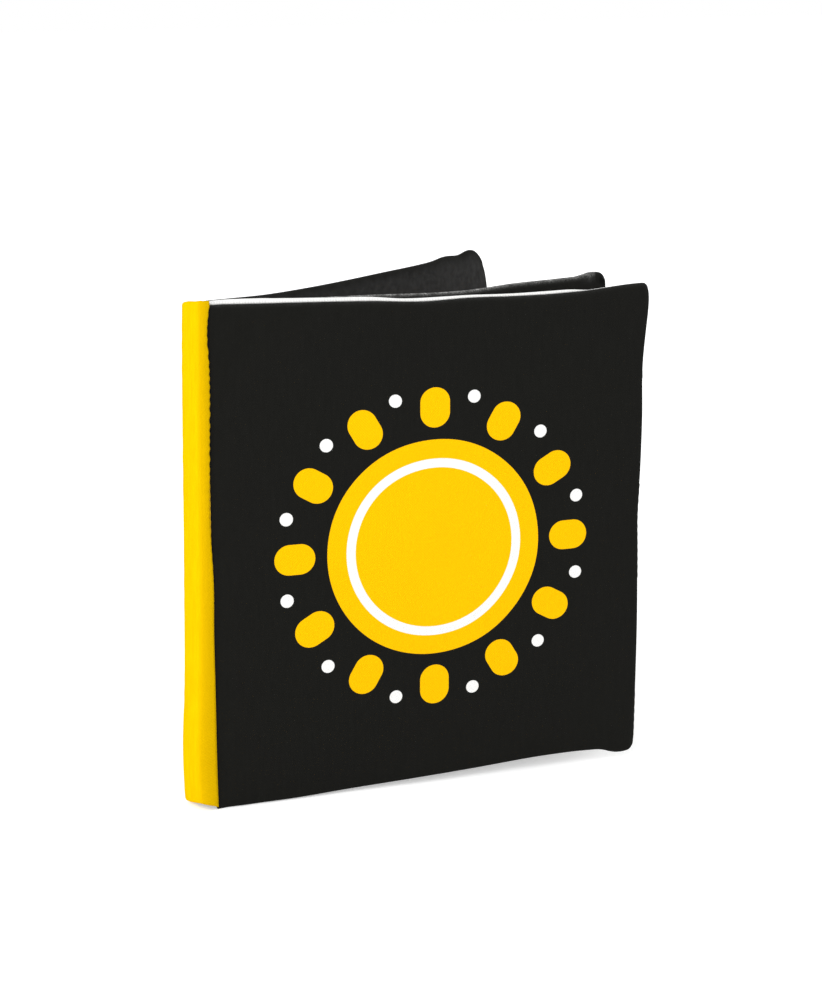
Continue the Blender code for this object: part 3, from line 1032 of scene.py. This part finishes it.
def build_leaf(leaf, looks, sides, cloths, rises=None):
    """All pieces of a leaf. sides names its two cloths, and cloths gives their materials, each paired with
    a slot name that is not used.
    """
    across, up = leaf_grid(leaf)
    outer = face(leaf, -1, across, up)
    lifts = [through(points, across / leaf.width) for points in rises] if rises else (0, 0)
    inner_side = face(leaf, 1, across, up, lifts)
    distance = np.minimum(np.minimum(up, leaf.height - up), leaf.width - across)
    free = smooth(distance / EDGE_ROLL) * smooth(across / leaf.near_reaches[1])
    outer, inner_side = inflate(outer, inner_side, free)
    place, edge = flat_place(across, up), nearness(leaf, across, up)
    for points, way, side, (material, slot) in zip((outer, inner_side), (-1, 1), sides, cloths):
        build_panel(leaf, way, side, points, place, edge, material)
    build_film(leaf, outer, across, up, looks["film"])
    build_wadding(leaf, outer, inner_side, across, up, looks["wadding"])
    build_edge_thread(leaf, outer, inner_side, looks["thread"])


def spine_section(steps):
    """Half of a rounded box seen from above: (inward share of the depth, share of the half width)."""
    turns = np.linspace(0, math.pi, SECTION_POINTS)
    depth = np.abs(np.sin(turns)) ** (2 / SPINE_BOXINESS)
    wide = -np.sign(np.cos(turns)) * np.abs(np.cos(turns)) ** (2 / SPINE_BOXINESS)
    line = np.stack([depth * SPINE_DEPTH, wide * SPINE_HALF_WIDTH], axis=-1)
    lengths = lengths_along(line)
    spots = np.linspace(0, lengths[-1], steps + 1)
    return np.interp(spots, lengths, depth), np.interp(spots, lengths, wide), spots


def build_spine(looks):
    """The yellow strip bulges away from the leaves and is turned in at both seams and both ends."""
    depth, wide, length = spine_section(SPINE_STEPS)
    up = stations(PAGE_HEIGHT, SPINE_END_ROLL, SPINE_END_ROLL, cell=SPINE_ROW)
    length, height = np.meshgrid(length, up)
    depth, wide = (np.meshgrid(row, up)[0] for row in (depth, wide))
    end = np.minimum(height, PAGE_HEIGHT - height)
    swell = rounded(end / SPINE_END_ROLL)
    fall = through(SPINE_DEPTHS, height / PAGE_HEIGHT)
    across_seam = np.minimum(length, length.max() - length)
    folds = CREPE * waves(length, height / CREPE_STRETCH, CREPE_PITCH, SPINE_SEED + 2)
    folds = pucker(height, across_seam, SPINE_SEED) + folds
    reach = (fall - SPINE_RIM) * (SPINE_END_DEPTH + (1 - SPINE_END_DEPTH) * swell) * depth
    reach = SPINE_RIM + reach + SPINE_FOLD * folds * smooth(across_seam / SPINE_FOLD_START) * swell
    half = SPINE_HALF_WIDTH - SPINE_END_DRAWN * (1 - swell)
    half = half + SIDE_FOLD * SPINE_FOLD * pucker(height, across_seam, SPINE_SEED + 5)
    shares = np.where(wide < 0, height, PAGE_HEIGHT - height) / PAGE_HEIGHT
    drift = waves(height, 0 * height, PULL_DRIFT_PITCH, SPINE_SEED + 11, PUCKER_WAVES)
    pull = np.sin(2 * math.pi * height / SEAM_STITCH + PULL_DRIFT * drift)
    line = through(SEAM_LINE, shares) + SEAM_PULL * pull * through(SEAM_PULLS, shares)
    line = line * (1 - smooth(across_seam / SPINE_WALL[0]))
    top = PAGE_HEIGHT + through(SPINE_TOP, (wide + 1) / 2)
    foot = through(SPINE_FOOT, length / length.max())
    points = np.stack([HINGE_X - SPINE_EDGE - reach + line, wide * half,
                       foot + height * (top - foot) / PAGE_HEIGHT], axis=-1)
    # Painted shade: the turned-in walls near both seams take the darker yellow, more of it towards the top
    edge = 1 - smooth((across_seam - SPINE_WALL[0]) / SPINE_WALL[1])
    edge = edge * (PAINTED_SHADE_SHARES[0] + (PAINTED_SHADE_SHARES[1] - PAINTED_SHADE_SHARES[0]) * height / PAGE_HEIGHT)
    mesh = make_mesh("spine_cloth", points, flat_place(length, height), edge, True)
    cover = make_piece("spine_cloth", mesh, looks["yellow"])
    thicken(cover, FABRIC)
    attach(cover, "spine")
    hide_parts("spine_cover")
    build_spine_lining(looks["black"])
    build_spine_filling(looks["wadding"], depth, wide, height, fall)
    for name, side in (("front", -1), ("rear", 1)):
        spots = np.linspace(FILLING_INSET, PAGE_HEIGHT - FILLING_INSET, PATH_POINTS)
        line = [(HINGE_X - SEAM_THREAD_IN, side * SEAM_THREAD_Y, z) for z in spots]
        stitched(f"{name}_spine_stitches", line, (SEAM_SWAY, 0, 0), SEAM_STITCH, looks["yellow_thread"],
                 "spine", f"{name}_spine_seam_thread")


def build_spine_lining(material):
    across = np.linspace(-LINING_HALF_WIDTH, LINING_HALF_WIDTH, LINING_STEPS + 1)
    up = stations(PAGE_HEIGHT - 2 * LINING_INSET, LINING_END_ROLL, LINING_END_ROLL) + LINING_INSET
    across, up = np.meshgrid(across, up)
    distance = np.minimum(LINING_HALF_WIDTH - np.abs(across),
                          np.minimum(up - LINING_INSET, PAGE_HEIGHT - LINING_INSET - up))
    roll = rounded(distance / LINING_END_ROLL)
    hollow = LINING_WAVE * waves(across, up / LINING_STRETCH, LINING_PITCH, SPINE_SEED + 7)
    x = HINGE_X - SPINE_EDGE - LINING_ROLL * (1 - roll) + hollow * roll
    points = np.stack([x, across, up], axis=-1)
    mesh = make_mesh("spine_lining_cloth", points, flat_place(across, up), 1 - roll, False)
    lining = make_piece("spine_lining_cloth", mesh, material)
    thicken(lining, FABRIC)
    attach(lining, "spine")
    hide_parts("spine_lining")


def build_spine_filling(material, depth, wide, height, fall):
    """Wadding between the strip and the lining: the strip's own section, made smaller."""
    rows = np.flatnonzero((height[:, 0] > FILLING_INSET) & (height[:, 0] < PAGE_HEIGHT - FILLING_INSET))
    keep = slice(rows[0], rows[-1] + 1)
    depth, wide, height, fall = depth[keep], wide[keep], height[keep], fall[keep]
    swell = rounded((np.minimum(height - height.min(), height.max() - height) + FILM) / FILLING_ROLL)
    half = (SPINE_HALF_WIDTH - 2 * FABRIC - FILLING_GAP) * (FILLING_END + (1 - FILLING_END) * swell)
    start = HINGE_X - SPINE_EDGE - LINING_ROLL - 2 * FABRIC
    reach = np.maximum(fall - LINING_ROLL - 3 * FABRIC - FILLING_GAP, 0) * swell * depth
    outer = np.stack([start - reach, wide * half, height], axis=-1)
    inner_side = np.stack([0 * wide + start + FILM, wide * half, height], axis=-1)
    add_pillow("spine_filling", outer, inner_side, material, "spine", "spine_wadding")


def build_gutter(looks):
    """The strip that holds the inner leaf, sewn through, from the spine's lining into the leaf's seam."""
    low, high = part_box("centre_gutter_tape")
    across = np.linspace(HINGE_X - SPINE_EDGE, high.x + TAPE_TUCK, TAPE_STEPS + 1)
    up = stations(high.z - low.z, TAPE_ROLL, TAPE_ROLL, cell=2 * CELL, rows=TAPE_ROWS) + low.z
    across, up = np.meshgrid(across, up)
    wave = TAPE_WAVE * waves(across, up, TAPE_PITCH, SPINE_SEED + 9)
    wave = wave * smooth((high.x - across) / (high.x - low.x))
    points = np.stack([across, wave - FABRIC / 2, up], axis=-1)
    mesh = make_mesh("gutter_tape", points, flat_place(across, up), 0 * up, False)
    tape = make_piece("gutter_tape", mesh, looks["black"])
    thicken(tape, FABRIC)
    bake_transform(tape)
    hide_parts("centre_gutter_tape")
    middle = (HINGE_X + high.x) / 2
    spots = np.linspace(low.z + TAPE_ROLL, high.z - TAPE_ROLL, PATH_POINTS)
    stitched("gutter_stitches", [(middle, 0, z) for z in spots], (0, TAPE_SWAY, 0), GUTTER_STITCH,
             looks["thread"], "spine", "centre_gutter_thread")


def leaf_shapes():
    """The three leaves. Their edges' sag, as (share of the side, metres), is read off the photograph."""
    cover = {"near_depths": (0.0007, 0.0012), "near_reaches": (0.0016, 0.005)}
    front = measure_leaf(
        "front_cover", ("outer_panel", "lining_panel"), "front_cover_hinge", 1, **cover,
        top=((0, -0.0007), (0.1, -0.0011), (0.25, -0.0016), (0.36, -0.0021), (0.48, -0.003),
             (0.58, -0.0026), (0.68, -0.0028), (0.78, -0.0027), (0.86, -0.0021), (0.91, -0.0014),
             (0.95, -0.0009), (1, -0.0006)),
        foot=((0, 0), (0.05, -0.0002), (0.1, -0.0001), (0.17, 0), (0.3, 0.0008), (0.45, 0.0016),
              (0.6, 0.0025), (0.78, 0.0038), (0.88, 0.0038), (0.92, 0.0034), (0.945, 0.0022),
              (0.97, 0.0019), (1, 0.0028)),
        far=((0, -0.0011), (0.1, -0.0009), (0.3, -0.0007), (0.42, -0.001), (0.52, -0.0013),
             (0.62, -0.0007), (0.72, -0.0005), (0.84, -0.0008), (0.9, -0.0001), (0.95, 0.0006),
             (1, 0.0007)),
        corner=(0.0021, 0.0046, 0.0026), curl=-0.0006, frayed=0)
    inner = measure_leaf(
        "inner_leaf", ("front_panel", "rear_panel"), "inner_leaf_hinge", 1,
        near_depths=(-0.0004, 0.0004), near_reaches=(0.0035, 0.0035),
        top=((0, -0.0008), (0.38, -0.0021), (0.65, -0.0028), (0.76, -0.0018), (0.85, -0.0015),
             (0.89, -0.0013), (0.92, -0.0012), (0.96, 0.0), (0.98, -0.0002), (1, -0.0006)),
        foot=((0, 0), (0.4, 0.0003), (0.8, 0.0005), (1, 0.0002)),
        far=((0, -0.0006), (0.3, -0.001), (0.6, -0.0009), (0.9, -0.0002), (1, 0.0)),
        corner=(0.003, 0.0036, 0.0028), curl=0.0003, frayed=0.008)
    back = measure_leaf(
        "back_cover", ("lining_panel", "outer_panel"), "back_cover_hinge", -1, **cover,
        top=((0, -0.0012), (0.06, -0.0014), (0.12, -0.0017), (0.2, -0.0021), (0.36, -0.002),
             (0.5, -0.0014), (0.62, -0.0007), (0.7, -0.0003), (0.76, 0.0001), (0.79, 0.0004),
             (0.825, 0.0012), (0.86, 0.0013), (0.885, 0.001), (0.906, 0.0015), (0.921, 0.0021),
             (0.935, 0.0023), (0.95, 0.0021), (0.97, 0.0014), (1, 0.0004)),
        foot=((0, 0), (0.4, 0.0003), (0.8, 0.0004), (1, 0.0002)),
        far=((0, -0.0004), (0.3, -0.0006), (0.6, -0.001), (0.8, -0.0022), (0.92, -0.0044), (1, -0.005)),
        corner=(0.007, 0.012, 0.0032), curl=-0.0006, frayed=0)
    return front, inner, back


def fibrous(name, look, grains, low, high, bump):
    """A material with one fine grain in its colour and its bump, for thread and wadding."""
    material, tree, shader = new_material(name, *look)
    fibre = grain(tree.nodes.new("ShaderNodeTexCoord").outputs["Object"], *grains)
    tree.links.new(mixed(fibre, low, high), shader.inputs["Base Color"])
    bumped(shader, fibre, bump)
    return material


def thread_material(name, colour):
    return fibrous(name, THREAD_LOOK, PLY_GRAIN, shaded(colour, PLY_SHADE), colour, PLY_BUMP)


def film_material():
    material, tree, shader = new_material("crinkle_film", *FILM_LOOK)
    shader.inputs["Base Color"].default_value = (*FILM_TINT, 1)
    shader.inputs["Alpha"].default_value = FILM_ALPHA
    bumped(shader, grain(attribute_of(tree, "cloth_place", "Vector"), *FILM_GRAIN), FILM_BUMP)
    return material


def main():
    front, inner, back = leaf_shapes()
    black = woven("black_cloth", BLACK, wear_and_highlight=WEAR_AND_HIGHLIGHT_BLACK)
    looks = {"film": film_material(),
             "wadding": fibrous("wadding", WADDING_LOOK, FIBRE_GRAIN, *WADDING_SHADES, FIBRE_BUMP),
             "thread": thread_material("black_thread", BLACK)}
    sun = woven("black_cloth_sun", BLACK, wear_and_highlight=WEAR_AND_HIGHLIGHT_BLACK, print_on=sun_print(front))
    dots = woven("white_cloth_dots", WHITE, sheen=0.0, napped=0.0, print_on=dots_print(front))
    build_leaf(front, looks, ("outer", "lining"), ((sun, "black_cloth"), (dots, "white_cloth")),
               (LINING_RISES, LINING_FOOT))
    page = {"napped": PAGE_NAP, "wear_and_highlight": WEAR_AND_HIGHLIGHT_PAGE, "painted_tip_shade": PAINTED_SHADE_BLACK}
    rings = woven("black_cloth_rings", PAGE_BLACK, print_on=rings_print(inner), **page)
    ripples = woven("black_cloth_ripples", PAGE_BLACK, print_on=ripple_print(inner), **page)
    build_leaf(inner, looks, ("front", "rear"), ((rings, "black_cloth"), (ripples, "black_cloth")))
    checks = woven("charcoal_cloth_checks", CHARCOAL, napped=INSIDE_NAP, darker_near_edge=BLACK,
                   print_on=checks_print(back))
    build_leaf(back, looks, ("outer", "lining"), ((black, "black_cloth"), (checks, "black_cloth")))
    looks["black"] = black
    # The yellow strip's cloth, with painted shade on its turned-in walls
    looks["yellow"] = woven("yellow_cloth", YELLOW, sheen=0.0, specular=0.0, napped=0.0, darker_near_edge=PAINTED_SHADE_YELLOW)
    looks["yellow_thread"] = thread_material("yellow_thread", YELLOW)
    build_spine(looks)
    build_gutter(looks)
    build_camera()
    for name, light in LIGHTS.items():
        build_light(name, *light)
    build_world()
    build_floor()
    bpy.context.scene.view_settings.view_transform = "Standard"


main()
